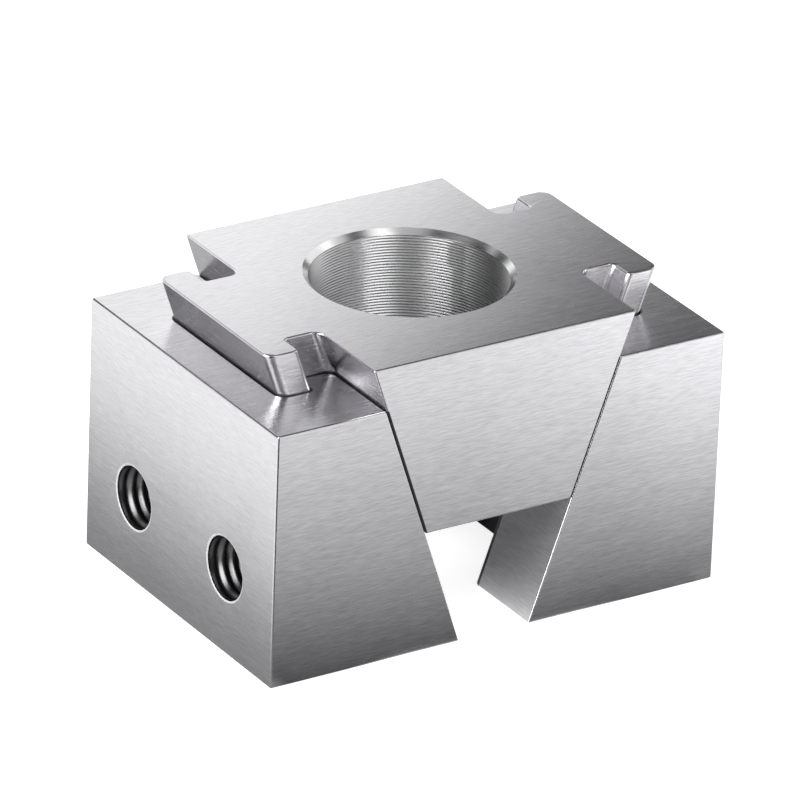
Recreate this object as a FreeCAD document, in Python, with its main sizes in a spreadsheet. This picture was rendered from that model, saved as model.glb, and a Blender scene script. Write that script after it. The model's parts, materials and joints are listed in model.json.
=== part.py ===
"""Two-sided wedge clamp block: a wedge drawn down between two jaws pushes them apart.

Frame: millimetres, +Z up, origin in the middle of the block on the face that it rests on.
X is the clamping direction, -Y the front. The wedge's flanks lean out towards the top, and a
T-shaped key along each flank runs in a matching slot through the jaw beside it.
"""
import FreeCAD, Part
import math
import os
import Sketcher

Vector = FreeCAD.Vector

# Driving dimensions, millimetres and degrees
SIZES = {
    "block_depth": 50.0,
    "jaw_height": 38.0,
    "slot_wall": 6.5,
    "wedge_width": 42.2,
    "wedge_height": 26.6,
    "wedge_lift": 6.5,
    "flank_angle": 19.3,
    "flank_gap": 0.06,
    "edge_break": 0.3,
    "neck_width": 21.0,
    "neck_reach": 5.55,
    "head_width": 29.3,
    "head_thickness": 5.05,
    "key_root_radius": 1.6,
    "key_ledge_radius": 0.8,
    "key_lip_radius": 0.8,
    "key_corner_radius": 1.6,
    "slot_clearance": 0.08,
    "bore_radius": 14.0,
    "bore_depth": 17.6,
    "bore_chamfer": 1.0,
    "bolt_hole_radius": 8.75,
    "bolt_hole_chamfer": 0.5,
    "tapped_radius": 4.25,
    "tapped_depth": 11.0,
    "tapped_mouth": 0.75,
    "tapped_spacing": 24.5,
    "tapped_height": 12.7,
    "drill_point": 118.0,
}

# Places worked out from the driving dimensions
SLOPE = "tan(sizes.flank_angle * 1 deg)"
WEDGE_TOP = "(sizes.jaw_height + sizes.wedge_lift)"
WEDGE_FLOOR = f"({WEDGE_TOP} - sizes.wedge_height)"
HALF_TOP = "(sizes.wedge_width / 2)"
HALF_FLOOR = f"({HALF_TOP} - sizes.wedge_height * {SLOPE})"
JAW_LIP_TOP = f"({HALF_TOP} - sizes.wedge_lift * {SLOPE} + sizes.flank_gap)"
JAW_LIP_FOOT = f"({HALF_TOP} - {WEDGE_TOP} * {SLOPE} + sizes.flank_gap)"
HEAD_REACH = "(sizes.neck_reach + sizes.head_thickness)"
HALF_LENGTH = (f"({HALF_TOP} - sizes.wedge_lift * {SLOPE} + {HEAD_REACH}"
               " + sizes.slot_clearance + sizes.slot_wall)")

# The key's outline starts this far inside the flank, and its root is this much wider than the neck
ROOT_SINK = 4.0
ROOT_SPREAD = 3.0
# How far a cutting outline runs past the face that it opens
OVERRUN = 2.0


def make_sheet(document):
    """Puts the driving dimensions into a spreadsheet, one aliased cell each."""
    sheet = document.addObject("Spreadsheet::Sheet", "sizes")
    for row, (alias, value) in enumerate(SIZES.items(), start=1):
        sheet.set(f"A{row}", alias)
        sheet.set(f"B{row}", str(value))
        sheet.setAlias(f"B{row}", alias)
    document.recompute()
    return sheet


def plane_of(body, role):
    """Gives the body's own origin plane with this role."""
    return next(item for item in body.Origin.OriginFeatures if item.Role == role)


def new_sketch(body, name, role, offset=None):
    """Starts a sketch on an origin plane, moved along its normal by an expression."""
    sketch = body.newObject("Sketcher::SketchObject", name)
    sketch.AttachmentSupport = [(plane_of(body, role), "")]
    sketch.MapMode = "FlatFace"
    if offset is not None:
        sketch.AttachmentOffset = FreeCAD.Placement(Vector(0, 0, number(body, offset)), FreeCAD.Rotation())
        sketch.setExpression("AttachmentOffset.Base.z", offset)
    return sketch


def number(item, expression):
    """Works out an expression as a plain number."""
    return float(item.evalExpression(expression))


def bind(sketch, kind, *where, expression):
    """Adds a dimension and ties it to an expression."""
    size = number(sketch, expression)
    index = sketch.addConstraint(Sketcher.Constraint(kind, *where, size))
    sketch.setExpression(f"Constraints[{index}]", expression)


def place(sketch, kind, line, end, expression):
    """Ties one coordinate of a line's end to an expression, measured from the origin."""
    if number(sketch, expression) < 0:
        bind(sketch, kind, line, end, -1, 1, expression=f"-({expression})")
    else:
        bind(sketch, kind, -1, 1, line, end, expression=expression)


def draw_polygon(sketch, corners):
    """Draws a closed outline of straight lines; a corner is an (x, y) pair of expressions."""
    points = [Vector(number(sketch, x), number(sketch, y), 0) for x, y in corners]
    lines = []
    for here, there in zip(points, points[1:] + points[:1]):
        lines.append(sketch.addGeometry(Part.LineSegment(here, there), False))
    for index, line in enumerate(lines):
        sketch.addConstraint(Sketcher.Constraint("Coincident", lines[index - 1], 2, line, 1))
        x, y = corners[index]
        if x == "0":
            sketch.addConstraint(Sketcher.Constraint("PointOnObject", line, 1, -2))
        else:
            place(sketch, "DistanceX", line, 1, x)
        if y == "0":
            sketch.addConstraint(Sketcher.Constraint("PointOnObject", line, 1, -1))
        else:
            place(sketch, "DistanceY", line, 1, y)


def draw_rounded(sketch, corners):
    """Draws a closed outline of level and upright lines whose corners may be rounded.

    A corner is (x, y, radius), each an expression, with a radius of None where it is sharp.
    """
    points = [Vector(number(sketch, x), number(sketch, y), 0) for x, y, _ in corners]
    count = len(corners)
    ways = [(points[(i + 1) % count] - points[i]).normalize() for i in range(count)]
    radii = [0.0 if r is None else number(sketch, r) for _, _, r in corners]
    lines = []
    for i in range(count):
        start = points[i] + ways[i] * radii[i]
        end = points[(i + 1) % count] - ways[i] * radii[(i + 1) % count]
        lines.append(sketch.addGeometry(Part.LineSegment(start, end), False))
    for i, (x, y, radius) in enumerate(corners):
        upright = corners[(i + 1) % count][0] == x
        sketch.addConstraint(Sketcher.Constraint("Vertical" if upright else "Horizontal", lines[i]))
        if radius is None:
            sketch.addConstraint(Sketcher.Constraint("Coincident", lines[i - 1], 2, lines[i], 1))
        else:
            round_corner(sketch, points[i], ways[i - 1], ways[i], radii[i], (lines[i - 1], lines[i]), radius)
        if upright:
            place(sketch, "DistanceX", lines[i], 1, x)
        else:
            place(sketch, "DistanceY", lines[i], 1, y)


def round_corner(sketch, corner, way_in, way_out, radius, lines, expression):
    """Joins two lines at a corner with a tangent arc."""
    start = corner - way_in * radius
    end = corner + way_out * radius
    centre = start + way_out * radius
    left_turn = way_in.cross(way_out).z > 0
    first, last = (start, end) if left_turn else (end, start)
    angle_first = math.atan2(first.y - centre.y, first.x - centre.x)
    angle_last = math.atan2(last.y - centre.y, last.x - centre.x)
    circle = Part.Circle(centre, Vector(0, 0, 1), radius)
    arc = sketch.addGeometry(Part.ArcOfCircle(circle, angle_first, angle_last), False)
    near, far = (1, 2) if left_turn else (2, 1)
    sketch.addConstraint(Sketcher.Constraint("Tangent", lines[0], 2, arc, near))
    sketch.addConstraint(Sketcher.Constraint("Tangent", arc, far, lines[1], 1))
    bind(sketch, "Radius", arc, expression=expression)


def key_outline(side, clearance):
    """Gives the level section of a key, or with a clearance that of the slot around it."""
    flank = f"{side} * {HALF_TOP}"
    if clearance != "0":
        flank = f"{side} * ({HALF_TOP} + sizes.flank_gap)"
    root = f"{side} * ({HALF_TOP} - {ROOT_SINK})"
    ledge = f"{side} * ({HALF_TOP} + sizes.neck_reach - {clearance})"
    outer = f"{side} * ({HALF_TOP} + {HEAD_REACH} + {clearance})"
    root_width = f"(sizes.neck_width / 2 + sizes.key_root_radius + {ROOT_SPREAD})"
    neck = f"(sizes.neck_width / 2 + {clearance})"
    head = f"(sizes.head_width / 2 + {clearance})"
    root_radius = f"sizes.key_root_radius - {clearance}"
    ledge_radius = f"sizes.key_ledge_radius - {clearance}"
    lip_radius = f"sizes.key_lip_radius + {clearance}"
    corner_radius = f"sizes.key_corner_radius + {clearance}"
    front = [
        (root, root_width, None),
        (flank, root_width, None),
        (flank, neck, root_radius),
        (ledge, neck, ledge_radius),
        (ledge, head, lip_radius),
        (outer, head, corner_radius),
    ]
    back = [(x, f"-{y}", radius) for x, y, radius in reversed(front)]
    return front + back


def slant(feature, side):
    """Turns a pad or pocket from the sketch's normal to the flank's own slope."""
    feature.UseCustomVector = True
    feature.AlongSketchNormal = True
    feature.Direction = Vector(-side * number(feature, SLOPE), 0, -1)
    feature.setExpression("Direction.x", f"{-side} * {SLOPE}")


def break_edges(body, name, base):
    """Chamfers every edge of a plain block."""
    chamfer = body.newObject("PartDesign::Chamfer", name)
    chamfer.Base = (base, [""])
    chamfer.UseAllEdges = True
    chamfer.setExpression("Size", "sizes.edge_break")
    return chamfer


def block(body, name, corners):
    """Makes a block as deep as the clamp from its front outline, with its edges broken."""
    outline = new_sketch(body, f"{name}_outline", "XZ_Plane")
    draw_polygon(outline, corners)
    pad = body.newObject("PartDesign::Pad", f"{name}_block")
    pad.Profile = outline
    pad.SideType = "Symmetric"
    pad.setExpression("Length", "sizes.block_depth")
    body.Document.recompute()
    chamfer = break_edges(body, f"{name}_edges", pad)
    body.Document.recompute()
    return chamfer


def make_wedge(document):
    """The wedge: a block narrower at its foot, a T-key along each flank and a stepped bore."""
    body = document.addObject("PartDesign::Body", "wedge")
    body.Label = "wedge"
    block(body, "wedge", [
        (f"-{HALF_TOP}", WEDGE_TOP),
        (f"-{HALF_FLOOR}", WEDGE_FLOOR),
        (HALF_FLOOR, WEDGE_FLOOR),
        (HALF_TOP, WEDGE_TOP),
    ])

    # Key along the right flank, from the wedge's top to its foot, and its mirror image
    outline = new_sketch(body, "key_outline", "XY_Plane", WEDGE_TOP)
    draw_rounded(outline, key_outline(1, "0"))
    key = body.newObject("PartDesign::Pad", "key")
    key.Profile = outline
    slant(key, 1)
    key.setExpression("Length", "sizes.wedge_height")
    document.recompute()
    keys = body.newObject("PartDesign::Mirrored", "keys")
    keys.Originals = [key]
    keys.MirrorPlane = (plane_of(body, "YZ_Plane"), [""])
    body.Tip = keys
    document.recompute()

    # Bore for the draw bolt's head, open at the top, over a smaller hole for its shank
    shoulder = f"({WEDGE_TOP} - sizes.bore_depth)"
    section = new_sketch(body, "bore_section", "XZ_Plane")
    draw_polygon(section, [
        ("0", WEDGE_TOP),
        ("(sizes.bore_radius + sizes.bore_chamfer)", WEDGE_TOP),
        ("sizes.bore_radius", f"({WEDGE_TOP} - sizes.bore_chamfer)"),
        ("sizes.bore_radius", shoulder),
        ("sizes.bolt_hole_radius", shoulder),
        ("sizes.bolt_hole_radius", f"({WEDGE_FLOOR} + sizes.bolt_hole_chamfer)"),
        ("(sizes.bolt_hole_radius + sizes.bolt_hole_chamfer)", WEDGE_FLOOR),
        ("0", WEDGE_FLOOR),
    ])
    bore = body.newObject("PartDesign::Groove", "bore")
    bore.Profile = section
    bore.ReferenceAxis = (section, ["V_Axis"])
    bore.Angle = 360.0
    body.Tip = bore
    document.recompute()
    return body


def make_jaw(document, name, side):
    """A jaw: upright outside, sloped inside, with a T-slot right through and two tapped holes."""
    body = document.addObject("PartDesign::Body", name)
    body.Label = name
    block(body, name, [
        (f"{side} * {JAW_LIP_FOOT}", "0"),
        (f"{side} * {HALF_LENGTH}", "0"),
        (f"{side} * {HALF_LENGTH}", "sizes.jaw_height"),
        (f"{side} * {JAW_LIP_TOP}", "sizes.jaw_height"),
    ])

    # Slot for the wedge's key, along the slope and out through the foot
    outline = new_sketch(body, f"{name}_slot_outline", "XY_Plane", WEDGE_TOP)
    draw_rounded(outline, key_outline(side, "sizes.slot_clearance"))
    slot = body.newObject("PartDesign::Pocket", f"{name}_slot")
    slot.Profile = outline
    slant(slot, side)
    slot.setExpression("Length", f"{WEDGE_TOP} + {OVERRUN}")
    document.recompute()

    # Pair of tapped holes in the clamping face
    centres = new_sketch(body, f"{name}_hole_centres", "YZ_Plane", f"{side} * {HALF_LENGTH}")
    for end in (-1, 1):
        spot = Vector(end * number(body, "sizes.tapped_spacing / 2"), number(body, "sizes.tapped_height"), 0)
        circle = centres.addGeometry(Part.Circle(spot, Vector(0, 0, 1), number(body, "sizes.tapped_radius")))
        place(centres, "DistanceX", circle, 3, f"{end} * sizes.tapped_spacing / 2")
        place(centres, "DistanceY", circle, 3, "sizes.tapped_height")
        bind(centres, "Radius", circle, expression="sizes.tapped_radius")
    document.recompute()
    holes = body.newObject("PartDesign::Hole", f"{name}_tapped_holes")
    holes.Profile = centres
    holes.Threaded = False
    holes.DepthType = "Dimension"
    holes.DrillPoint = "Angled"
    holes.Reversed = side < 0
    holes.HoleCutType = "Countersink"
    holes.HoleCutCountersinkAngle = 90.0
    holes.setExpression("Diameter", "2 * sizes.tapped_radius")
    holes.setExpression("Depth", "sizes.tapped_depth")
    holes.setExpression("DrillPointAngle", "sizes.drill_point")
    holes.setExpression("HoleCutDiameter", "2 * (sizes.tapped_radius + sizes.tapped_mouth)")
    body.Tip = holes
    document.recompute()
    return body


def check(document, pieces):
    """Stops if any object failed or a piece has no valid solid."""
    for item in document.Objects:
        if "Invalid" in item.State or "Error" in item.State:
            raise RuntimeError(f"{item.Name} failed: {item.State}")
    for piece in pieces:
        if piece.Shape.isNull() or not piece.Shape.isValid() or len(piece.Shape.Solids) != 1:
            raise RuntimeError(f"{piece.Label} has no single valid solid")


def main():
    """Builds the three pieces and writes each one to its file."""
    document = FreeCAD.newDocument("clamp_block")
    make_sheet(document)
    pieces = [
        make_wedge(document),
        make_jaw(document, "left_jaw", -1),
        make_jaw(document, "right_jaw", 1),
    ]
    document.recompute()
    check(document, pieces)
    os.makedirs("parts", exist_ok=True)
    for piece in pieces:
        piece.Shape.exportStep(f"parts/{piece.Label}.step")
        box = piece.Shape.BoundBox
        print(piece.Label, "volume", round(piece.Shape.Volume, 1), "mm3",
              "x", round(box.XMin, 2), round(box.XMax, 2),
              "y", round(box.YMin, 2), round(box.YMax, 2),
              "z", round(box.ZMin, 2), round(box.ZMax, 2))


main()
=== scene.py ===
"""Looks of the two-sided wedge clamp block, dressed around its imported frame. Metres throughout."""
import json
import logging
import math
from dataclasses import dataclass, replace
from enum import Enum, IntEnum
from typing import Any, Sequence

import bmesh
import bpy
from mathutils import Euler, Matrix, Vector


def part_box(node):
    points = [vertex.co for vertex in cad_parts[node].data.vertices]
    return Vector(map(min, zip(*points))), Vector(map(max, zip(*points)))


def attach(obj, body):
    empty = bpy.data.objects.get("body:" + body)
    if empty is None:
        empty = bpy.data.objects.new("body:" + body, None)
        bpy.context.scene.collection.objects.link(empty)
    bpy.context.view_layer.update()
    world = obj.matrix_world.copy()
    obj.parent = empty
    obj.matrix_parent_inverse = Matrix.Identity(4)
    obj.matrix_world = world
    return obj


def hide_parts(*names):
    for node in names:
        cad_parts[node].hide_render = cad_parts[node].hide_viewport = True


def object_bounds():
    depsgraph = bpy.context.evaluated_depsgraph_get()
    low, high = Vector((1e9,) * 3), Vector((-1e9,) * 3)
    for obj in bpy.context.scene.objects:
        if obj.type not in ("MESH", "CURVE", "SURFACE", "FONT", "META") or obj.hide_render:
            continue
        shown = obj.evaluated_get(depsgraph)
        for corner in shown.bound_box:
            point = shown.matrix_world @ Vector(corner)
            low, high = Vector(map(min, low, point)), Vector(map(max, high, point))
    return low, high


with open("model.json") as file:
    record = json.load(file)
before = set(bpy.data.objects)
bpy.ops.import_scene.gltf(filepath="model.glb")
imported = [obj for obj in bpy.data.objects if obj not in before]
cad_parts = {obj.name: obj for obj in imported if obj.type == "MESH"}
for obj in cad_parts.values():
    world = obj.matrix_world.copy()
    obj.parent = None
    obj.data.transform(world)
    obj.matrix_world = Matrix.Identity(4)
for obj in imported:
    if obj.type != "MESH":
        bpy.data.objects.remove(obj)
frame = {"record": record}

CAD_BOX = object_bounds()
MM = 0.001
WHITE = (1.0, 1.0, 1.0)
FLANK_DEGREES = 19.3
WELD = 0.002 * MM
LOG = logging.getLogger("clamp_block")
Ring = list[bmesh.types.BMVert]


class Number:
    """A number that a node tree works out, with Python's operators as Math nodes."""

    def __init__(self, tree: "Tree", socket: Any) -> None:
        """Wraps a tree's output socket that carries one number."""
        self.tree = tree
        self.socket = socket

    def apply(self, operation: str, *terms: Any, first: bool = True) -> "Number":
        """Adds a Math node.

        Args:
            operation: the Math node's operation.
            terms: the other numbers it takes.
            first: whether this number comes before the others.

        Returns:
            The node's result.
        """
        values = [self, *terms] if first else [*terms, self]
        node = self.tree.node("ShaderNodeMath", {"operation": operation}, dict(enumerate(values)))
        return Number(self.tree, node.outputs[0])

    def __add__(self, other: Any) -> "Number":
        """Gives self + other."""
        return self.apply("ADD", other)

    __radd__ = __add__

    def __sub__(self, other: Any) -> "Number":
        """Gives self - other."""
        return self.apply("SUBTRACT", other)

    def __rsub__(self, other: Any) -> "Number":
        """Gives other - self."""
        return self.apply("SUBTRACT", other, first=False)

    def __mul__(self, other: Any) -> "Number":
        """Gives self * other."""
        return self.apply("MULTIPLY", other)

    __rmul__ = __mul__

    def __truediv__(self, other: Any) -> "Number":
        """Gives self / other."""
        return self.apply("DIVIDE", other)

    def __rtruediv__(self, other: Any) -> "Number":
        """Gives other / self."""
        return self.apply("DIVIDE", other, first=False)

    def __pow__(self, other: Any) -> "Number":
        """Gives self ** other."""
        return self.apply("POWER", other)

    def __abs__(self) -> "Number":
        """Gives the number without its sign."""
        return self.apply("ABSOLUTE")

    def at_least(self, low: Any) -> "Number":
        """Gives the larger of self and low."""
        return self.apply("MAXIMUM", low)

    def at_most(self, high: Any) -> "Number":
        """Gives the smaller of self and high."""
        return self.apply("MINIMUM", high)

    def ease(self, low: float, high: float) -> "Number":
        """Rises smoothly from 0 at low to 1 at high.

        Args:
            low: where the rise starts.
            high: where it ends.

        Returns:
            A number from 0 to 1.
        """
        settings = {"interpolation_type": "SMOOTHSTEP", "clamp": True}
        links = {"Value": self, "From Min": low, "From Max": high, "To Min": 0.0, "To Max": 1.0}
        return Number(self.tree, self.tree.node("ShaderNodeMapRange", settings, links).outputs[0])


class Tree:
    """A node tree, built call by call."""

    def __init__(self, tree: bpy.types.NodeTree) -> None:
        """Keeps the tree that the nodes go into."""
        self.tree = tree

    def number(self, socket: bpy.types.NodeSocket) -> Number:
        """Wraps a socket so that Python's operators work on it."""
        return Number(self, socket)

    def node(self, kind: str, settings: dict[str, Any], sockets: dict[Any, Any]) -> bpy.types.Node:
        """Adds a node.

        Args:
            kind: the node's type.
            settings: properties of the node, set before its sockets.
            sockets: a value, a number or an output socket for each named input.

        Returns:
            The new node.
        """
        node = self.tree.nodes.new(kind)
        for name, value in settings.items():
            setattr(node, name, value)
        for name, value in sockets.items():
            if isinstance(value, Number):
                self.tree.links.new(value.socket, node.inputs[name])
            elif isinstance(value, bpy.types.NodeSocket):
                self.tree.links.new(value, node.inputs[name])
            else:
                node.inputs[name].default_value = value
        return node

    def join(self, *parts: Any) -> bpy.types.NodeSocket:
        """Joins three numbers into a vector."""
        return self.node("ShaderNodeCombineXYZ", {}, dict(enumerate(parts))).outputs[0]

    def split(self, vector: bpy.types.NodeSocket) -> tuple[Number, ...]:
        """Splits a vector into its three numbers."""
        node = self.node("ShaderNodeSeparateXYZ", {}, {"Vector": vector})
        return tuple(self.number(part) for part in node.outputs)


class Shader(Tree):
    """The node tree of a material or of the world."""

    def __init__(self, owner: Any) -> None:
        """Empties the owner's node tree.

        Args:
            owner: the material or world to build in.
        """
        owner.use_nodes = True
        super().__init__(owner.node_tree)
        self.tree.nodes.clear()

    def coordinates(self, output: str = "Object") -> tuple[Number, ...]:
        """Gives the X, Y and Z that one output of a Texture Coordinate node holds."""
        return self.split(self.node("ShaderNodeTexCoord", {}, {}).outputs[output])

    def attribute(self, name: str) -> Number:
        """Gives the number that the piece's mesh holds under a name."""
        return self.number(self.node("ShaderNodeAttribute", {"attribute_name": name}, {}).outputs["Fac"])

    def noise(self, place: Sequence[Any], detail: float = 2.0) -> Number:
        """Gives noise from -0.5 to 0.5 at a place in cycles, with so many octaves of detail."""
        links = {"Vector": self.join(*place), "Scale": 1.0, "Detail": detail}
        return self.number(self.node("ShaderNodeTexNoise", {}, links).outputs[0]) - 0.5

    def lobe(self, azimuth: float, elevation: float, inner: float, outer: float) -> Number:
        """Marks the directions near one direction, for a world.

        Args:
            azimuth: the direction's degrees round from +X towards +Y.
            elevation: its degrees above the horizon.
            inner: degrees from it up to which the mark is 1.
            outer: degrees from it beyond which the mark is 0.

        Returns:
            A number from 0 to 1.
        """
        turn, rise = math.radians(azimuth), math.radians(elevation)
        aim = (math.cos(turn) * math.cos(rise), math.sin(turn) * math.cos(rise), math.sin(rise))
        x, y, z = self.coordinates("Generated")
        along = x * aim[0] + y * aim[1] + z * aim[2]
        return along.ease(math.cos(math.radians(outer)), math.cos(math.radians(inner)))

    def tint(self, colour: tuple[float, float, float], level: Number) -> bpy.types.NodeSocket:
        """Multiplies a colour by a number."""
        links = {0: colour, "Scale": level}
        return self.node("ShaderNodeVectorMath", {"operation": "SCALE"}, links).outputs[0]

    def surface(self, node: bpy.types.Node) -> None:
        """Makes a node's result the material's surface."""
        self.node("ShaderNodeOutputMaterial", {}, {"Surface": node.outputs[0]})

    def glow(self, level: Number) -> None:
        """Makes the material a plain white light of a level."""
        self.surface(self.node("ShaderNodeEmission", {}, {"Color": self.tint(WHITE, level)}))


class Grain(Enum):
    """Which way the grain runs."""

    GROUND = "along X, and along Y on faces that look along X"
    TURNED = "round a bore's axis"


@dataclass(frozen=True)
class Steel:
    """Bare steel with a fine grain left by grinding or cutting.

    Attributes:
        colour: reflected colour.
        roughness: mean roughness.
        grain: which way the grain runs.
        line_width: width of the fine lines, metres.
        line_length: length of the fine lines, metres.
        line_contrast: how much the fine lines change the colour.
        band_contrast: how much the broad lines change the colour.
        relief: height of the grain, metres.
        film: attribute that darkens it with painted shade, given as a dark oily film, in hollows and along
            the seams between the parts.
        band_scale: size of the fine lines as a share of the broad lines.
        band_relief: height of the broad lines as a share of the fine ones.
        cloud_scale: frequency of the faint clouds, cycles per metre.
        cloud_contrast: how much the clouds change the colour.
        crosswise_fade: how much fainter the fine lines are on faces that look along X.
        oil_and_shade_darkness: how much the painted shade takes from the colour.
        roughening: what the fine lines, broad lines, clouds and the oily, shaded parts add to the roughness.
    """

    colour: tuple[float, float, float] = (0.80, 0.79, 0.815)
    roughness: float = 0.25
    grain: Grain = Grain.GROUND
    line_width: float = 0.16 * MM
    line_length: float = 2.1 * MM
    line_contrast: float = 0.60
    band_contrast: float = 0.14
    relief: float = 0.006 * MM
    film: str = "oil_and_shade"
    band_scale: float = 0.22
    band_relief: float = 0.6
    cloud_scale: float = 90.0
    cloud_contrast: float = 0.06
    crosswise_fade: float = 0.35
    oil_and_shade_darkness: float = 0.85
    roughening: tuple[float, float, float, float] = (0.10, 0.08, 0.05, 0.15)

    def build(self, name: str) -> bpy.types.Material:
        """Makes the material.

        Args:
            name: the material's name.

        Returns:
            The material.
        """
        material = bpy.data.materials.new(name)
        shader = Shader(material)
        along, across = 1.0 / self.line_length, 1.0 / self.line_width
        x, y, z = shader.coordinates()
        if self.grain is Grain.GROUND:
            side = shader.attribute("crosswise")
            shift = side * (across - along)
            place = (x * (along + shift), y * (across - shift), z * across)
            fade = 1.0 - side * self.crosswise_fade
        else:
            place = (x * along, y * along, z * across)
            fade = 1.0
        fine = shader.noise(place, detail=3.0) * fade
        broad = shader.noise([part * self.band_scale for part in place])
        cloud = shader.noise([part * self.cloud_scale for part in (x, y, z)])
        # Painted shade, given as a dark oily film: the film attribute darkens hollows and the seams between
        # the parts
        oil_and_shade = shader.attribute(self.film)
        level = 1.0 + fine * self.line_contrast + broad * self.band_contrast + cloud * self.cloud_contrast
        level = level * (1.0 - oil_and_shade * self.oil_and_shade_darkness)
        roughness = self.roughness
        for part, share in zip((fine, broad, cloud, oil_and_shade), self.roughening):
            roughness = roughness + part * share
        bump = shader.node("ShaderNodeBump", {}, {
            "Strength": 1.0,
            "Distance": self.relief,
            "Height": fine + broad * self.band_relief,
        })
        shader.surface(shader.node("ShaderNodeBsdfPrincipled", {}, {
            "Base Color": shader.tint(self.colour, level),
            "Metallic": 1.0,
            "Roughness": roughness,
            "Normal": bump.outputs[0],
        }))
        return material


class Finish(IntEnum):
    """Material slots of every piece."""

    GROUND = 0
    MOUTH = 1
    MILLED = 2
    THREAD = 3


class Wall(Enum):
    """What an upright wall of a piece is."""

    GROUND = "ground face"
    MILLED = "milled face"
    JOINT = "side of a key or a slot"
    SEAM = "edge along the other piece"

    def towards(self, other: "Wall") -> "Wall":
        """Gives the kind of the straight wall from a corner of this kind to one of another."""
        inner = Wall.MILLED if Wall.GROUND in (self, other) else Wall.JOINT
        return inner if Wall.JOINT in (self, other) else Wall.GROUND


@dataclass(frozen=True)
class Corner:
    """A corner of a level outline.

    Attributes:
        x: place along X where the reference height is, metres.
        y: place along Y, metres.
        radius: radius of the rounded corner, metres.
        lean: how far the corner moves along X for each metre of height.
        wall: how the rounded corner looks.
    """

    x: float
    y: float
    radius: float
    lean: float
    wall: Wall = Wall.GROUND


@dataclass(frozen=True)
class Leaning:
    """A point of an outline that moves along X with height, and the wall that ends at it."""

    x: float
    y: float
    lean: float
    wall: Wall


def round_off(corners: Sequence[Corner], steps: int = 8) -> list[Leaning]:
    """Rounds the corners of a closed outline.

    Args:
        corners: the corners in order.
        steps: straight lines in each rounded corner.

    Returns:
        The outline's points in order.
    """
    points: list[Leaning] = []
    for index, corner in enumerate(corners):
        before, after = corners[index - 1], corners[(index + 1) % len(corners)]
        here = Vector((corner.x, corner.y))
        back = (Vector((before.x, before.y)) - here).normalized()
        ahead = (Vector((after.x, after.y)) - here).normalized()
        half = back.angle(ahead) / 2
        reach = corner.radius / math.tan(half)
        centre = here + (back + ahead).normalized() * (corner.radius / math.sin(half))
        start = here + back * reach - centre
        turn = (here + ahead * reach - centre).angle_signed(start)
        for step in range(steps + 1):
            spoke = start.copy()
            spoke.rotate(Matrix.Rotation(turn * step / steps, 2))
            wall = corner.wall if step else before.wall.towards(corner.wall)
            points.append(Leaning(centre.x + spoke.x, centre.y + spoke.y, corner.lean, wall))
    return points


@dataclass(frozen=True)
class Hole:
    """A round hole's profile, as steps from its mouth inwards.

    Attributes:
        steps: (depth below the mouth, radius) pairs.
        open_wall: index of the step whose wall down to the next one is left open for a thread.
        segments: straight lines round the hole.
        through: whether the hole comes out of the other end.
        wall: finish of its walls below the mouth.
    """

    steps: tuple[tuple[float, float], ...]
    open_wall: int
    segments: int
    through: bool = False
    wall: Finish = Finish.GROUND


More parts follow.
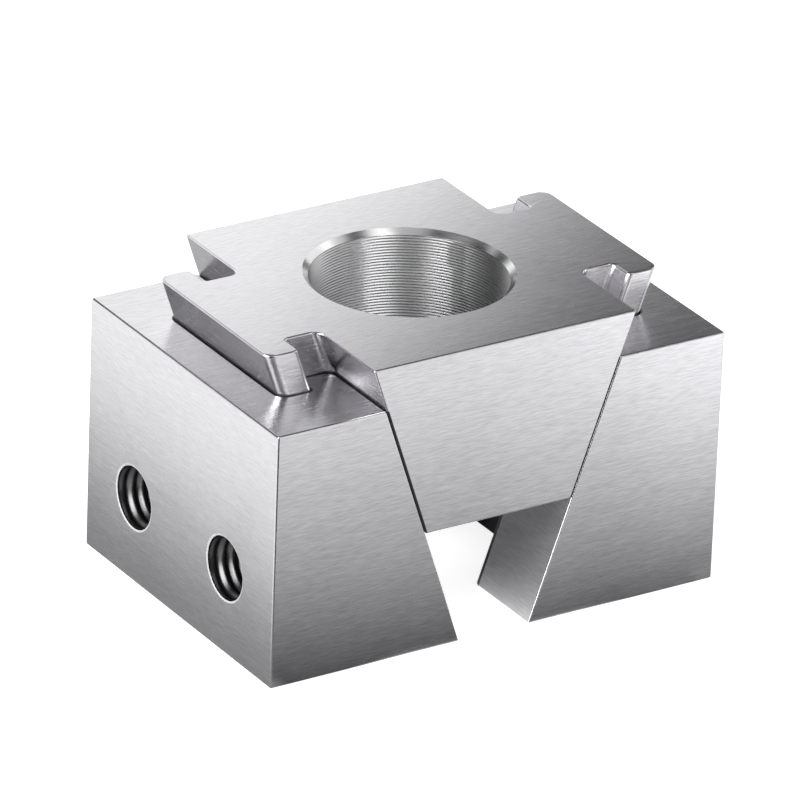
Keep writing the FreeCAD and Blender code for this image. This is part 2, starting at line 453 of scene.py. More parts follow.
class Solid:
    """A piece with straight leaning walls between a level foot and a level top."""

    SHARP_DEGREES = 38.0
    CROSSWISE_NORMAL = 0.65

    def __init__(self, name: str, outline: list[Leaning], foot: float, top: float, reference: float) -> None:
        """Starts the piece's mesh.

        Args:
            name: the piece's name.
            outline: its level outline, counter-clockwise.
            foot: height of its foot.
            top: height of its top.
            reference: height at which the outline's places hold.
        """
        self.name = name
        self.outline = outline
        self.foot = foot
        self.top = top
        self.reference = reference
        self.mesh = bmesh.new()
        # Layers for painted shade on faces (given as a dark oily film), for the grain's direction, and for
        # painted shade inside holes
        self.oil_and_shade = self.mesh.faces.layers.float.new("oil_and_shade")
        self.crosswise = self.mesh.faces.layers.float.new("crosswise")
        self.hole_shade = self.mesh.verts.layers.float.new("hole_shade")
        self.foot_ring: Ring = []
        self.top_ring: Ring = []

    def ring(self, height: float, inset: float) -> Ring:
        """Adds the outline's points at one height.

        Args:
            height: the height.
            inset: how far they are drawn in, for a rounded edge.

        Returns:
            The new points in order.
        """
        rise = height - self.reference
        flat = [Vector((point.x + point.lean * rise, point.y)) for point in self.outline]
        ring = []
        for index, here in enumerate(flat):
            before, after = flat[index - 1], flat[(index + 1) % len(flat)]
            way_in, way_out = (here - before).normalized(), (after - here).normalized()
            normal = Vector((-(way_in.y + way_out.y), way_in.x + way_out.x)).normalized()
            share = normal.dot(Vector((-way_in.y, way_in.x)))
            spot = here + normal * (inset / share)
            ring.append(self.mesh.verts.new((spot.x, spot.y, height)))
        return ring

    def walls(self, edge: float, oil_and_shade_bands: dict[Wall, tuple[float, float]], steps: int = 3) -> None:
        """Builds the walls, with a rounded edge round the foot and the top.

        Args:
            edge: radius of the rounded edges.
            oil_and_shade_bands: the walls that get painted shade, given as a dark oily film, and the heights
                between which each is.
            steps: straight lines in each rounded edge.
        """
        levels = []
        for step in range(steps + 1):
            angle = math.pi / 2 * step / steps
            levels.append((self.foot + edge * (1 - math.cos(angle)), edge * (1 - math.sin(angle))))
        levels += [(self.foot + self.top - height, inset) for height, inset in levels]
        heights = {height for band in oil_and_shade_bands.values() for height in band}
        levels += [(height, 0.0) for height in heights if self.foot + edge < height < self.top - edge]
        levels.sort()
        rings = [self.ring(height, inset) for height, inset in levels]
        for (start, _), (end, _), low, high in zip(levels, levels[1:], rings, rings[1:]):
            for index, face in enumerate(self.bridge(low, high)):
                wall = self.outline[index].wall
                band = oil_and_shade_bands.get(wall)
                # Faces inside a band get the painted shade
                if band and band[0] <= start and end <= band[1]:
                    face[self.oil_and_shade] = 1.0
                elif wall is Wall.MILLED:
                    face.material_index = Finish.MILLED
        self.foot_ring, self.top_ring = rings[0], rings[-1]

    def bridge(self, low: Ring, high: Ring, finish: Finish = Finish.GROUND) -> list[bmesh.types.BMFace]:
        """Joins two closed rings of as many points.

        Args:
            low: the first ring.
            high: the second ring.
            finish: finish of the faces between them.

        Returns:
            The faces, one for each point.
        """
        faces = []
        for index, vert in enumerate(low):
            face = self.mesh.faces.new((low[index - 1], vert, high[index], high[index - 1]))
            face.material_index = finish
            faces.append(face)
        return faces

    def fill(self, *rings: Ring) -> None:
        """Fills a flat face.

        Args:
            rings: its outer ring, and the rings of its holes.
        """
        edges = []
        for ring in rings:
            for index, vert in enumerate(ring):
                pair = (ring[index - 1], vert)
                edges.append(self.mesh.edges.get(pair) or self.mesh.edges.new(pair))
        bmesh.ops.triangle_fill(self.mesh, use_beauty=True, use_dissolve=False, edges=edges)

    def drill(self, hole: Hole, mouth: Vector, inwards: Vector) -> list[Ring]:
        """Adds the wall of a hole.

        Args:
            hole: its profile.
            mouth: the middle of its mouth.
            inwards: the direction that it is drilled in.

        Returns:
            The hole's rings, from the mouth inwards.
        """
        side = Vector((0, 1, 0))
        up = inwards.cross(side)
        rings = []
        for row, (depth, radius) in enumerate(hole.steps):
            ring = []
            for index in range(hole.segments):
                angle = math.tau * index / hole.segments
                spoke = side * math.cos(angle) + up * math.sin(angle)
                vert = self.mesh.verts.new(mouth + inwards * depth + spoke * radius)
                # Painted shade inside the hole, past its mouth
                vert[self.hole_shade] = float(row > 0)
                ring.append(vert)
            rings.append(ring)
        for index, (near, far) in enumerate(zip(rings, rings[1:])):
            if index != hole.open_wall:
                self.bridge(near, far, hole.wall if index else Finish.MOUTH)
        if not hole.through:
            self.mesh.faces.new(rings[-1]).material_index = hole.wall
        return rings

    def finish(self, finishes: Sequence[bpy.types.Material], thread: bpy.types.Mesh) -> bpy.types.Object:
        """Closes the mesh with its thread, and makes the object.

        Args:
            finishes: a material for each slot.
            thread: thread walls that close its open holes.

        Returns:
            The finished piece.
        """
        mesh = bpy.data.meshes.new(self.name)
        for finish in finishes:
            mesh.materials.append(finish)
        known = set(self.mesh.faces)
        self.mesh.from_mesh(thread)
        for face in self.mesh.faces:
            if face not in known:
                face.material_index = Finish.THREAD
        bpy.data.meshes.remove(thread)
        bmesh.ops.remove_doubles(self.mesh, verts=self.mesh.verts, dist=WELD)
        bmesh.ops.recalc_face_normals(self.mesh, faces=self.mesh.faces)
        open_edges = sum(1 for edge in self.mesh.edges if not edge.is_manifold)
        for face in self.mesh.faces:
            face.smooth = True
            face[self.crosswise] = float(abs(face.normal.x) > self.CROSSWISE_NORMAL)
        self.mesh.to_mesh(mesh)
        self.mesh.free()
        mesh.set_sharp_from_angle(angle=math.radians(self.SHARP_DEGREES))
        piece = bpy.data.objects.new(self.name, mesh)
        bpy.context.scene.collection.objects.link(piece)
        flatten = piece.modifiers.new("flatten", "WEIGHTED_NORMAL")
        flatten.keep_sharp = True
        evaluated = piece.evaluated_get(bpy.context.evaluated_depsgraph_get())
        piece.data = bpy.data.meshes.new_from_object(evaluated)
        piece.modifiers.remove(flatten)
        piece.data.name = self.name
        bpy.data.meshes.remove(mesh)
        LOG.info("%s: %d faces, %d open edges", self.name, len(piece.data.polygons), open_edges)
        return piece


class MeshTree(Tree):
    """A Geometry Nodes tree that is run once."""

    KINDS = {float: "Float", int: "Int", bpy.types.Material: "Material"}

    def __init__(self, name: str) -> None:
        """Starts an empty tree with one geometry output.

        Args:
            name: the tree's name.
        """
        super().__init__(bpy.data.node_groups.new(name, "GeometryNodeTree"))
        self.tree.interface.new_socket("Geometry", in_out="OUTPUT", socket_type="NodeSocketGeometry")
        self.source = self.tree.nodes.new("NodeGroupInput")
        self.values: dict[str, Any] = {}

    def entry(self, name: str, value: Any) -> Number:
        """Adds a named input.

        Args:
            name: the input's name.
            value: what it is set to when the tree is run.

        Returns:
            The input's socket inside the tree, wrapped.
        """
        kind = f"NodeSocket{self.KINDS[type(value)]}"
        socket = self.tree.interface.new_socket(name, in_out="INPUT", socket_type=kind)
        self.values[socket.identifier] = value
        return self.number(self.source.outputs[name])

    def run(self, result: bpy.types.NodeSocket) -> bpy.types.Mesh:
        """Evaluates the tree with its inputs' values.

        Args:
            result: the socket that carries the finished geometry.

        Returns:
            A plain mesh, with its materials.
        """
        self.node("NodeGroupOutput", {}, {0: result})
        holder = bpy.data.objects.new("holder", bpy.data.meshes.new("holder"))
        bpy.context.scene.collection.objects.link(holder)
        modifier = holder.modifiers.new("build", "NODES")
        modifier.node_group = self.tree
        for identifier, value in self.values.items():
            modifier[identifier] = value
        evaluated = holder.evaluated_get(bpy.context.evaluated_depsgraph_get())
        mesh = bpy.data.meshes.new_from_object(evaluated)
        holder.modifiers.remove(modifier)
        bpy.data.objects.remove(holder)
        return mesh


@dataclass(frozen=True)
class Thread:
    """The wall of a threaded hole, as one helical surface.

    Attributes:
        root: radius of the thread's root, metres.
        height: how far the crest stands in from the root, metres.
        pitch: distance from turn to turn, metres.
        length: length of the wall, metres.
        run_in: length over which the thread rises at each end, metres.
        hole_shade: how dark the painted shade in the thread's root is, from 0 to 1.
        crest_narrowing: 1 where only the root is shaded, more for narrower crests clear of the painted shade.
        segments: straight lines round the hole.
        rows_per_turn: rows of faces in each turn.
    """

    root: float
    height: float
    pitch: float
    length: float
    run_in: float
    hole_shade: float
    crest_narrowing: float
    segments: int
    rows_per_turn: int
    SEAM = 0.001 * MM

    def build(
        self,
        name: str,
        finish: bpy.types.Material,
        centre: Vector,
        turn: Euler,
        count: int = 1,
        spacing: float = 0.0,
    ) -> bpy.types.Mesh:
        """Builds the wall, once for each hole of a row along Y.

        Args:
            name: the tree's name.
            finish: material of the wall.
            centre: the middle of the row, where the walls start.
            turn: turns the wall's own Z to the hole's direction.
            count: holes in the row.
            spacing: distance from hole to hole.

        Returns:
            A mesh that is open at both ends of each wall.
        """
        tree = MeshTree(name)
        root = tree.entry("Root Radius", self.root)
        height = tree.entry("Thread Height", self.height)
        pitch = tree.entry("Pitch", self.pitch)
        length = tree.entry("Length", self.length)
        run_in = tree.entry("Run In", self.run_in)
        segments = tree.entry("Segments", self.segments)
        rows = tree.entry("Rows", round(self.length / self.pitch * self.rows_per_turn))
        number = tree.entry("Count", count)
        gap = tree.entry("Spacing", spacing)
        hole_shade = tree.entry("Hole Shade", self.hole_shade)
        crest_narrowing = tree.entry("Crest Narrowing", self.crest_narrowing)
        material = tree.entry("Material", finish)

        # A flat sheet, 1 by 1, rolled up into the wall
        sheet = tree.node("GeometryNodeMeshGrid", {}, {
            "Size X": 1.0,
            "Size Y": 1.0,
            "Vertices X": segments + 1,
            "Vertices Y": rows + 1,
        })
        x, y, _ = tree.split(tree.node("GeometryNodeInputPosition", {}, {}).outputs[0])
        round_share = x + 0.5
        depth = (y + 0.5) * length
        wave = ((depth / pitch - round_share) * math.tau).apply("COSINE") * 0.5 + 0.5
        rise = (depth / run_in).at_most(1.0) * ((length - depth) / run_in).at_most(1.0)
        radius = root - height * rise * wave
        angle = round_share * math.tau
        rolled = tree.node("GeometryNodeSetPosition", {}, {
            "Geometry": sheet.outputs["Mesh"],
            "Position": tree.join(radius * angle.apply("COSINE"), radius * angle.apply("SINE"), depth),
        })
        # Painted shade in the thread's roots, leaving the crests clear
        marked = tree.node("GeometryNodeStoreNamedAttribute", {"data_type": "FLOAT", "domain": "POINT"}, {
            "Geometry": rolled.outputs[0],
            "Name": "hole_shade",
            "Value": hole_shade * (1.0 - (rise * wave) ** crest_narrowing),
        })
        closed = tree.node("GeometryNodeMergeByDistance", {}, {
            "Geometry": marked.outputs[0],
            "Distance": self.SEAM,
        })

        # One copy for each hole of the row
        row = tree.node("GeometryNodeMeshLine", {}, {
            "Count": number,
            "Start Location": tree.join(0.0, gap * (number - 1) * -0.5, 0.0),
            "Offset": tree.join(0.0, gap, 0.0),
        })
        copies = tree.node("GeometryNodeInstanceOnPoints", {}, {
            "Points": row.outputs[0],
            "Instance": closed.outputs[0],
            "Rotation": turn,
        })
        moved = tree.node("GeometryNodeTransform", {}, {"Geometry": copies.outputs[0], "Translation": centre})
        real = tree.node("GeometryNodeRealizeInstances", {}, {"Geometry": moved.outputs[0]})
        result = tree.node("GeometryNodeSetMaterial", {}, {"Geometry": real.outputs[0], "Material": material})
        return tree.run(result.outputs[0])


@dataclass(frozen=True)
class KeyProfile:
    """Level section of the T-key along a flank, and of the slot around it.

    Attributes:
        half_top: half the wedge's width at its top, where the reference height is.
        slope: how far a flank moves out for each metre of height.
        neck_half: half the neck's width along Y.
        neck_reach: how far the neck stands out from the flank.
        head_half: half the head's width along Y.
        head_reach: how far the head's outer face stands out from the flank.
        root_radius: radius where the neck meets the flank.
        ledge_radius: radius where the head meets the neck.
        lip_radius: radius of the head's inner corners.
        corner_radius: radius of the head's outer corners.
    """

    half_top: float
    slope: float
    neck_half: float = 10.5 * MM
    neck_reach: float = 5.55 * MM
    head_half: float = 14.65 * MM
    head_reach: float = 10.6 * MM
    root_radius: float = 1.6 * MM
    ledge_radius: float = 0.8 * MM
    lip_radius: float = 0.8 * MM
    corner_radius: float = 1.6 * MM

    def corners(self, side: int, clearance: float = 0.0, gap: float = 0.0) -> list[Corner]:
        """Gives the key's corners, from front to back.

        Args:
            side: 1 for the right flank, -1 for the left one.
            clearance: how much larger the outline is all round, for a slot.
            gap: how far the flank itself is moved out.

        Returns:
            The corners in order of Y.
        """
        flank = self.half_top + gap
        ledge = self.half_top + self.neck_reach - clearance
        outer = self.half_top + self.head_reach + clearance
        neck, head = self.neck_half + clearance, self.head_half + clearance
        front = [
            (flank, -neck, self.root_radius - clearance),
            (ledge, -neck, self.ledge_radius - clearance),
            (ledge, -head, self.lip_radius + clearance),
            (outer, -head, self.corner_radius + clearance),
        ]
        back = [(x, -y, radius) for x, y, radius in reversed(front)]
        return [Corner(side * x, y, radius, side * self.slope, Wall.JOINT) for x, y, radius in front + back]


@dataclass
class Wedge:
    """The wedge with its two keys and its stepped, threaded bore.

    Attributes:
        key: section of its keys.
        depth: size along Y.
        foot: height of its foot.
        top: height of its top.
        bore_radius: radius of the large bore.
        shoulder: height of the bore's shoulder.
        bolt_radius: radius of the hole below the shoulder.
        jaw_top: height of the jaws' top.
        chamfer: size of the bore's chamfer.
        foot_chamfer: size of the bolt hole's chamfer at the foot.
        edge: radius of its edges.
    """

    key: KeyProfile
    depth: float
    foot: float
    top: float
    bore_radius: float
    shoulder: float
    bolt_radius: float
    jaw_top: float
    chamfer: float = 0.8 * MM
    foot_chamfer: float = 0.5 * MM
    edge: float = 0.30 * MM

    def build(self, finishes: Sequence[bpy.types.Material]) -> bpy.types.Object:
        """Builds the piece.

        Args:
            finishes: a material for each slot.

        Returns:
            The finished piece.
        """
        half = self.depth / 2
        outline = []
        for side in (1, -1):
            flank, lean = side * self.key.half_top, side * self.key.slope
            outline += [
                Corner(flank, -side * half, self.edge, lean, Wall.SEAM),
                *self.key.corners(side)[::side],
                Corner(flank, side * half, self.edge, lean, Wall.SEAM),
            ]
        solid = Solid("wedge_piece", round_off(outline), self.foot, self.top, self.top)
        # Painted shade, given as a dark oily film, on the flanks below the jaws' top, where they meet the
        # jaws
        solid.walls(self.edge, {Wall.SEAM: (-math.inf, self.jaw_top)})
        depth = self.top - self.foot
        floor = self.top - self.shoulder
        hole = Hole(
            steps=(
                (0.0, self.bore_radius + self.chamfer),
                (self.chamfer, self.bore_radius),
                (floor, self.bore_radius),
                (floor, self.bolt_radius),
                (depth - self.foot_chamfer, self.bolt_radius),
                (depth, self.bolt_radius + self.foot_chamfer),
            ),
            open_wall=1,
            through=True,
            segments=128,
        )
        rings = solid.drill(hole, Vector((0, 0, self.top)), Vector((0, 0, -1)))
        solid.fill(solid.top_ring, rings[0])
        solid.fill(solid.foot_ring, rings[-1])
        thread = Thread(
            root=self.bore_radius,
            height=0.16 * MM,
            pitch=0.44 * MM,
            length=floor - self.chamfer,
            run_in=0.2 * MM,
            hole_shade=1.0,
            crest_narrowing=1.4,
            segments=hole.segments,
            rows_per_turn=6,
        )
        start = Vector((0, 0, self.top - self.chamfer))
        wall = thread.build("bore_thread", finishes[Finish.THREAD], start, Euler((math.pi, 0, 0)))
        return solid.finish(finishes, wall)


@dataclass
class Jaw:
    """One jaw with its T-slot and its two tapped holes.

    Attributes:
        side: 1 for the right jaw, -1 for the left one.
        key: section of the key that its slot takes.
        depth: size along Y.
        top: height of its top.
        outer: distance of its clamping face from the middle.
        reference: height at which the key's section holds.
        hole_spacing: distance between its tapped holes.
        hole_height: height of the tapped holes.
        hole_radius: radius of the tapped holes.
        hole_depth: how deep their thread ends.
        rim: how far their bright rim and its foot stand out from the thread's root.
        rim_depth: how deep the rim goes.
        mouth_depth: how deep the thread starts.
        root_gap: how far the thread's root stands out from the hole's radius.
        cone_depth: depth of the coned end.
        cone_tip: radius of the coned end's tip.
        clearance: room round the key in the slot.
        flank_gap: room along X between the wedge's flank and the jaw.
        lip: height of the painted shade line at the top of the milled walls.
        edge: radius of its edges.
    """

    side: int
    key: KeyProfile
    depth: float
    top: float
    outer: float
    reference: float
    hole_spacing: float
    hole_height: float
    hole_radius: float
    hole_depth: float = 11.0 * MM
    rim: tuple[float, float] = (0.30 * MM, 0.02 * MM)
    rim_depth: float = 0.09 * MM
    mouth_depth: float = 0.26 * MM
    root_gap: float = 0.35 * MM
    cone_depth: float = 2.2 * MM
    cone_tip: float = 0.3 * MM
    clearance: float = 0.08 * MM
    flank_gap: float = 0.06 * MM
    lip: float = 0.1 * MM
    edge: float = 0.30 * MM
    SAME_PLACE = 0.01 * MM

    def outline(self) -> list[Leaning]:
        """Lays out the jaw's level section.

        Returns:
            The section's points, counter-clockwise.
        """
        half = self.depth / 2
        flank = self.side * (self.key.half_top + self.flank_gap)
        outer = self.side * self.outer
        lean = self.side * self.key.slope
        slot = self.key.corners(self.side, self.clearance, self.flank_gap)
        corners = [
            Corner(flank, -half, self.edge, lean),
            Corner(outer, -half, self.edge, 0.0),
            Corner(outer, half, self.edge, 0.0),
            Corner(flank, half, self.edge, lean),
            *reversed(slot),
        ]
        return round_off(corners[::self.side])

    def build(self, finishes: Sequence[bpy.types.Material]) -> bpy.types.Object:
        """Builds the piece.

        Args:
            finishes: a material for each slot.

        Returns:
            The finished piece.
        """
        name = "right_jaw_piece" if self.side > 0 else "left_jaw_piece"
        solid = Solid(name, self.outline(), 0.0, self.top, self.reference)
        # Painted shade, given as a dark oily film: all of the slot's walls, and a thin line at the top of the
        # milled walls
        line_foot = self.top - self.edge - self.lip
        solid.walls(self.edge, {Wall.JOINT: (-math.inf, math.inf), Wall.MILLED: (line_foot, math.inf)})
        solid.fill(solid.top_ring)
        solid.fill(solid.foot_ring)
        thread = Thread(
            root=self.hole_radius + self.root_gap,
            height=0.62 * MM,
            pitch=1.62 * MM,
            length=self.hole_depth - self.mouth_depth,
            run_in=1.3 * MM,
            hole_shade=1.0,
            crest_narrowing=5.0,
            segments=64,
            rows_per_turn=14,
        )
        rim_top, rim_foot = self.rim
        hole = Hole(
            steps=(
                (0.0, thread.root + rim_top),
                (self.rim_depth, thread.root + rim_foot),
                (self.mouth_depth, thread.root),
                (self.hole_depth, thread.root),
                (self.hole_depth + self.cone_depth, self.cone_tip),
            ),
            open_wall=2,
            wall=Finish.THREAD,
            segments=thread.segments,
        )
        face_x = self.side * self.outer
        inwards = Vector((-self.side, 0, 0))
        outside = [
            face for face in solid.mesh.faces
            if abs(face.calc_center_median().x - face_x) < self.SAME_PLACE
        ]
        outer_face = max(outside, key=lambda face: face.calc_area())
        outer_ring = list(outer_face.verts)
        solid.mesh.faces.remove(outer_face)
        mouths = []
        for end in (-1, 1):
            spot = Vector((face_x, end * self.hole_spacing / 2, self.hole_height))
            mouths.append(solid.drill(hole, spot, inwards)[0])
        solid.fill(outer_ring, *mouths)
        start = Vector((face_x, 0, self.hole_height)) + inwards * self.mouth_depth
        turn = Euler((0, -self.side * math.pi / 2, 0))
        steel = finishes[Finish.THREAD]
        wall = thread.build(f"{name}_threads", steel, start, turn, count=2, spacing=self.hole_spacing)
        return solid.finish(finishes, wall)


@dataclass(frozen=True)
class Camera:
    """The camera at the photograph's angle.

    Attributes:
        azimuth: degrees round the block, 0 looking along +Y.
        elevation: degrees above the horizon.
        roll: degrees that the picture is turned clockwise.
        distance: distance from the target, metres.
        lens: focal length in millimetres on the usual 36 mm sensor.
        target: the point in the middle of the picture.
    """

    azimuth: float = -32.84
    elevation: float = 25.58
    roll: float = 2.26
    distance: float = 1.249
    lens: float = 405.0
    target: tuple[float, float, float] = (0.1 * MM, 1.3 * MM, 24.35 * MM)

    def build(self) -> bpy.types.Object:
        """Makes the scene's camera.

        Returns:
            The camera.
        """
        data = bpy.data.cameras.new("camera")
        data.lens = self.lens
        data.clip_start = 0.05
        data.clip_end = 50.0
        camera = bpy.data.objects.new("camera", data)
        turn, rise = math.radians(self.azimuth), math.radians(self.elevation)
        back = Vector((math.sin(turn) * math.cos(rise), -math.cos(turn) * math.cos(rise), math.sin(rise)))
        camera.location = Vector(self.target) + back * self.distance
        look = back.to_track_quat("Z", "Y").to_matrix()
        roll = Matrix.Rotation(math.radians(self.roll), 3, "Z")
        camera.rotation_euler = (look @ roll).to_euler()
        bpy.context.scene.collection.objects.link(camera)
        bpy.context.scene.camera = camera
        return camera


class Seen(Enum):
    """Which rays meet a piece of the studio."""

    BY_CAMERA = "camera and soft light"
    BY_STEEL = "reflections only"


@dataclass
class Studio:
    """Pale floor, soft light and the panels that the steel reflects.

    In its methods, ease takes places in metres from the block's middle, and factors are brightness.

    Attributes:
        depth: the block's size along Y.
        half_length: half the block's size along X.
        lamps: the lights round the block, each with its azimuth, elevation, inner and outer
            degrees as Shader.lobe takes them, and its brightness.
        shades: the gaps in the bright horizon, given the same way.
    """

    depth: float
    half_length: float
    lamps: tuple[tuple[float, ...], ...] = (
        (6.0, 24.0, 10.0, 28.0, 0.8),
        (345.0, 40.0, 6.0, 18.0, 0.6),
        (262.0, 70.0, 14.0, 28.0, 0.4),
        (184.0, 22.0, 14.0, 31.0, 6.0),
        (281.0, 46.0, 6.0, 20.0, 1.5),
        (300.0, 20.0, 8.0, 28.0, 0.8),
    )
    shades: tuple[tuple[float, ...], ...] = (
        (240.0, 0.0, 55.0, 85.0, 1.0),
        (345.0, 0.0, 12.0, 34.0, 0.6),
    )

    def card(self, name: str, corners: Sequence[tuple[float, float, float]], seen: Seen) -> Shader:
        """Adds a flat card with a material of its own.

        Args:
            name: the name of the card and of its material.
            corners: its corners in order.
            seen: which rays meet it.

        Returns:
            The material's empty node tree.
        """
        mesh = bpy.data.meshes.new(name)
        mesh.from_pydata(corners, [], [range(len(corners))])
        mesh.materials.append(bpy.data.materials.new(name))
        card = bpy.data.objects.new(name, mesh)
        bpy.context.scene.collection.objects.link(card)
        steel_only = seen is Seen.BY_STEEL
        card.visible_camera = not steel_only
        card.visible_diffuse = not steel_only
        card.visible_shadow = not steel_only
        card.visible_glossy = steel_only
        return Shader(mesh.materials[0])

    def level(self, name: str, reach: float, height: float, seen: Seen) -> Shader:
        """Adds a square card under the block, reaching so far each way, and gives its material's tree."""
        signs = ((-1, -1), (1, -1), (1, 1), (-1, 1))
        return self.card(name, [(x * reach, y * reach, height) for x, y in signs], seen)

    def upright(self, name: str, y: float, left: float, right: float, low: float, high: float) -> Shader:
        """Adds an upright card along X that only the steel reflects, and gives its material's tree."""
        places = ((left, low), (right, low), (right, high), (left, high))
        return self.card(name, [(x, y, z) for x, z in places], Seen.BY_STEEL)

    def floor(self) -> None:
        """Adds the pale floor."""
        shader = self.level("floor", reach=6.0, height=-0.05 * MM, seen=Seen.BY_CAMERA)
        shader.surface(shader.node("ShaderNodeBsdfPrincipled", {}, {
            "Base Color": (0.9, 0.9, 0.9, 1.0),
            "Roughness": 0.9,
            "Emission Color": (1.0, 1.0, 1.0, 1.0),
            "Emission Strength": 0.80,
        }))

    def floor_glow(self) -> None:
        """Adds the light that the steel sees under itself: dim near the block, bright further out."""
        shader = self.level("floor_glow", reach=2.0, height=-0.5 * MM, seen=Seen.BY_STEEL)
        x, y, _ = shader.coordinates()
        # Beside the block, from its front face backwards
        beside = (abs(x) - self.half_length).ease(0.0, 0.044) * 0.84 + 0.27
        side = beside * y.ease(-0.060, -0.024) * abs(x).ease(0.030, 0.036)
        # In front of the block and behind it, brighter further out and to the right
        away = abs(y) - self.depth / 2
        slant = x - away * 0.644
        lift = slant.ease(-0.003, 0.006) * 0.15 + slant.ease(0.015, 0.037) * 0.37
        before = (away * 11.4 + 0.11).at_most(0.98) * (0.93 + (x * 5.5).at_most(0.0) + lift)
        front = before * x.ease(-0.045, -0.029)
        # Between the jaws' feet, fading from the front backwards
        narrow = 1.0 - abs(x).ease(0.012, 0.026)
        gap = narrow * y.ease(-0.027, -0.024) * (1.0 - y.ease(-0.023, 0.006)) * 1.5
        darkest = 0.04
        shader.glow(side.at_least(front).at_least(gap).at_least(darkest))

    def back_panel(self) -> None:
        """Adds the panel behind the block, bright on the left and dim on the right."""
        shader = self.upright("back_panel", y=0.11, left=-0.22, right=0.26, low=-0.02, high=0.24)
        x, _, z = shader.coordinates()
        rise = z - 0.092
        level = 0.40 + x.ease(-0.140, -0.112) * 0.76 - (x + rise * 1.1).ease(0.045, 0.145) * 1.06
        # Higher up its left part is dark, but for a dimmer patch near the top
        cut = (x - rise * 0.8).ease(-0.030, 0.015).at_least(1.0 - z.ease(0.055, 0.080))
        cut = cut.at_least(z.ease(0.108, 0.145) * 0.62 * x.ease(-0.088, -0.060))
        # Low down it is dim from the middle to the right
        under = (1.0 - z.ease(0.055, 0.075)) * x.ease(-0.012, 0.008) * (1.0 - x.ease(0.060, 0.090))
        shader.glow(level * cut * (1.0 - under * 0.9))

    def front_shade(self) -> None:
        """Adds the dim patch in front that the right key's notch and the jaw beside it reflect."""
        left, right, low, high = 0.074, 0.135, 0.078, 0.140
        shader = self.upright("front_shade", -0.11, left, right, low, high)
        x, _, z = shader.coordinates()
        wide = x.ease(left, 0.083) * (1.0 - x.ease(0.110, right))
        inside = wide * z.ease(low, 0.084) * (1.0 - z.ease(0.115, high))
        # Its lower right part stays clear
        lit = x.ease(0.089, 0.096) * (1.0 - z.ease(0.0915, 0.0935))
        clear = shader.node("ShaderNodeBsdfTransparent", {}, {})
        dim = shader.node("ShaderNodeEmission", {}, {"Color": (0.07, 0.07, 0.07, 1.0)})
        shader.surface(shader.node("ShaderNodeMixShader", {}, {
            0: inside * (1.0 - lit),
            1: clear.outputs[0],
            2: dim.outputs[0],
        }))

    def surroundings(self) -> None:
        """Sets the world: bright near the horizon, dim overhead, with soft lamps round the block."""
        world = bpy.data.worlds.new("studio")
        bpy.context.scene.world = world
        shader = Shader(world)
        _, _, z = shader.coordinates("Generated")
        horizon = 1.0 - abs(z).ease(0.06, 0.32)
        unshaded = 1.0
        for *lobe, strength in self.shades:
            unshaded = unshaded - shader.lobe(*lobe) * strength
        overall, bright = 0.05, 0.8
        level = overall + horizon * bright * unshaded
        for *lobe, strength in self.lamps:
            level = level + shader.lobe(*lobe) * strength
        glow = shader.node("ShaderNodeBackground", {}, {"Color": shader.tint(WHITE, level)})
        shader.node("ShaderNodeOutputWorld", {}, {"Surface": glow.outputs[0]})

    def overhead_light(self) -> None:
        """Adds the soft light that gives the floor its faint shadow."""
        data = bpy.data.lights.new("overhead", "AREA")
        data.shape = "DISK"
        data.size = 0.9
        data.energy = 6.0
        light = bpy.data.objects.new("overhead", data)
        light.location = (-0.25, -0.2, 1.3)
        light.rotation_euler = (Vector((0, 0, 0)) - light.location).to_track_quat("-Z", "Y").to_euler()
        light.visible_glossy = False
        bpy.context.scene.collection.objects.link(light)

    def build(self) -> None:
        """Builds the studio."""
        self.floor()
        self.floor_glow()
        self.back_panel()
        self.front_shade()
        self.surroundings()
        self.overhead_light()


def mount(name: str) -> dict[str, Any]:
    """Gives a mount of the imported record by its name."""
    return next(entry for entry in frame["record"]["mounts"] if entry["name"] == name)


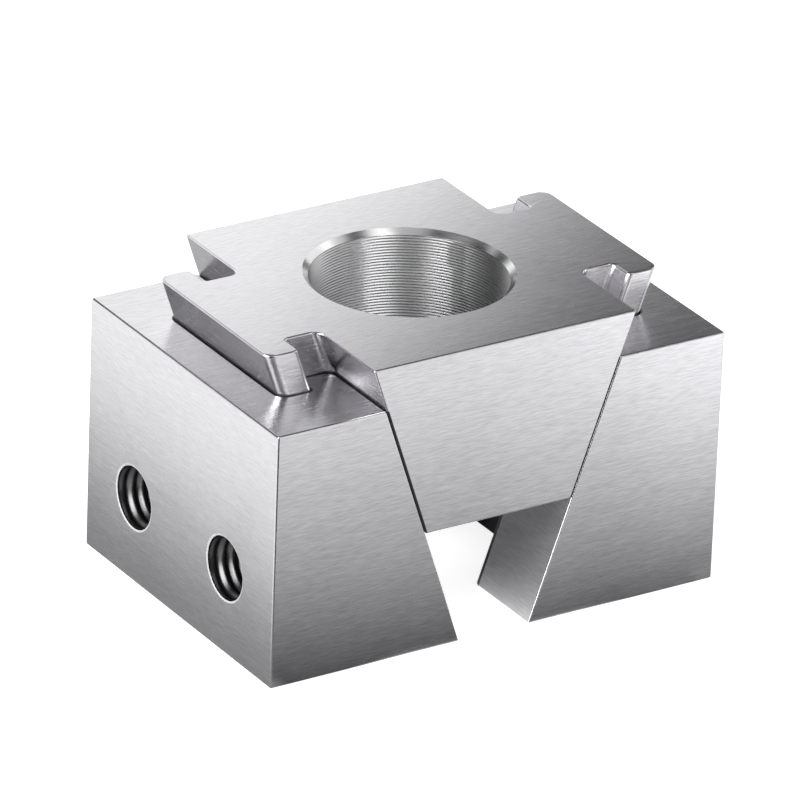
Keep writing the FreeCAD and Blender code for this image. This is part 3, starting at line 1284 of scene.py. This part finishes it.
def build_block() -> list[bpy.types.Object]:
    """Builds the three pieces in place of their CAD nodes.

    Returns:
        The pieces.
    """
    wedge_low, wedge_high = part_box("wedge")
    jaw_low, jaw_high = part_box("left_jaw")
    head, bolt, screws = mount("head_bore"), mount("draw_bolt_hole"), mount("left_plate_screws")
    slope = math.tan(math.radians(FLANK_DEGREES))
    key = KeyProfile(half_top=wedge_high[0] - KeyProfile.head_reach, slope=slope)
    steel = Steel().build("ground_faces")
    milled = Steel(roughness=0.5, line_contrast=0.75).build("milled_flanks")
    cut = Steel(grain=Grain.TURNED, line_contrast=0.1, relief=0.0)
    chamfer = replace(cut, colour=(0.92, 0.92, 0.93), roughness=0.20).build("turned_chamfer")
    # Painted highlight: the mouth rings are a lighter steel than the faces, for the bright rim round each
    # tapped hole; their roughness spreads the light round the rim
    mouth = replace(cut, colour=(0.95, 0.95, 0.96), roughness=0.5).build("lightened_countersunk_steel")
    bore = replace(cut, colour=(0.92, 0.92, 0.93), roughness=0.30, film="hole_shade").build("bore_thread")
    # Painted shade: the tapped holes' thread is a darker steel than the bore's, so the holes look dark inside
    tapped = replace(cut, colour=(0.50, 0.50, 0.51), roughness=0.22, film="hole_shade").build("darkened_tapped_thread")
    depth = wedge_high[1] - wedge_low[1]
    wedge = Wedge(
        key=key,
        depth=depth,
        foot=wedge_low[2],
        top=wedge_high[2],
        bore_radius=head["dims"]["r_mm"] * MM,
        shoulder=head["pos_m"][2] - head["dims"]["length_mm"] * MM / 2,
        bolt_radius=bolt["dims"]["r_mm"] * MM,
        jaw_top=jaw_high[2],
    )
    pieces = [wedge.build((steel, chamfer, milled, bore))]
    for side in (-1, 1):
        jaw = Jaw(
            side=side,
            key=key,
            depth=depth,
            top=jaw_high[2],
            outer=-jaw_low[0],
            reference=wedge_high[2],
            hole_spacing=screws["dims"]["spacing_x_mm"] * MM,
            hole_height=screws["pos_m"][2],
            hole_radius=screws["dims"]["hole_r_mm"] * MM,
        )
        pieces.append(jaw.build((steel, mouth, milled, tapped)))
    for piece, node in zip(pieces, ("wedge", "left_jaw", "right_jaw")):
        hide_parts(node)
        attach(piece, node)
    return pieces


def main() -> None:
    """Builds the block, the studio and the camera."""
    logging.basicConfig(level=logging.INFO, format="%(name)s %(message)s")
    for piece in build_block():
        LOG.info("dressed %s", piece.name)
    low, high = CAD_BOX
    Studio(depth=high[1] - low[1], half_length=(high[0] - low[0]) / 2).build()
    Camera().build()
    bpy.context.scene.view_settings.view_transform = "Standard"


if __name__ == "__main__":
    main()
